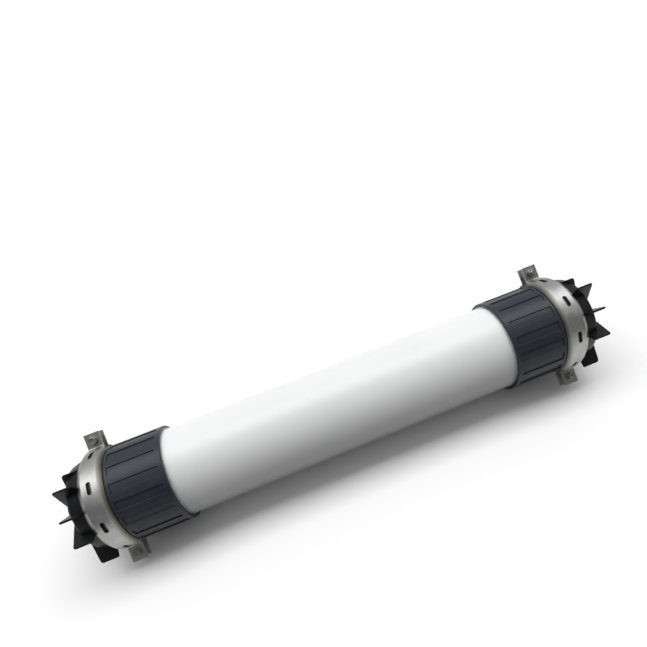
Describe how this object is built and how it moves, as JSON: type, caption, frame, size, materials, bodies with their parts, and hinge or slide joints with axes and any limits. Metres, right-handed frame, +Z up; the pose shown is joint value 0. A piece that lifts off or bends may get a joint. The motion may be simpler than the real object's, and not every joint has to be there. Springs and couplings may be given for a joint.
{
  "type": "ultrafiltration membrane module",
  "caption": "White tubular membrane module with dark collars, V-band clamps and finned end caps, feed ports on the axis and permeate ports at the side.",
  "frame": {"origin": "middle of the shell tube, on its axis", "axes": "+X along the tube's axis towards the right end, +Z up with the module lying on two fins of each cap, the clamps' front halves facing -Y and upwards"},
  "size_m": [1.264, 0.2743, 0.2468],
  "materials": {
    "shell_pvc": "smooth white rigid PVC, soft gloss",
    "collar_pvc": "dark blue-grey moulded PVC, satin",
    "cap_pvc": "near-black moulded PVC, satin",
    "port_pvc": "dark blue-grey PVC pipe stub, satin",
    "stainless": "stamped stainless sheet, satin",
    "fastener_steel": "turned and pressed stainless fasteners",
    "seal_rubber": "black elastomer",
    "resin": "cured potting resin, amber beige",
    "fibre": "off-white hollow fibres",
    "net_plastic": "white plastic netting"
  },
  "bodies": {
    "root": {"shell_tube": "shell_pvc", "fibre_bundle": "fibre", "bundle_net": "net_plastic", "left_collar": "collar_pvc", "left_end_cap": "cap_pvc", "left_permeate_port": "port_pvc", "left_cap_seal": "seal_rubber", "left_potting": "resin", "left_clamp_front": "stainless", "left_clamp_back": "stainless", "left_clamp_bolt_top": "fastener_steel", "left_clamp_nut_top": "fastener_steel", "left_washers_top": "fastener_steel", "left_clamp_bolt_bottom": "fastener_steel", "left_clamp_nut_bottom": "fastener_steel", "left_washers_bottom": "fastener_steel", "right_collar": "collar_pvc", "right_end_cap": "cap_pvc", "right_permeate_port": "port_pvc", "right_cap_seal": "seal_rubber", "right_potting": "resin", "right_clamp_front": "stainless", "right_clamp_back": "stainless", "right_clamp_bolt_top": "fastener_steel", "right_clamp_nut_top": "fastener_steel", "right_washers_top": "fastener_steel", "right_clamp_bolt_bottom": "fastener_steel", "right_clamp_nut_bottom": "fastener_steel", "right_washers_bottom": "fastener_steel"}
  },
  "joints": []
}
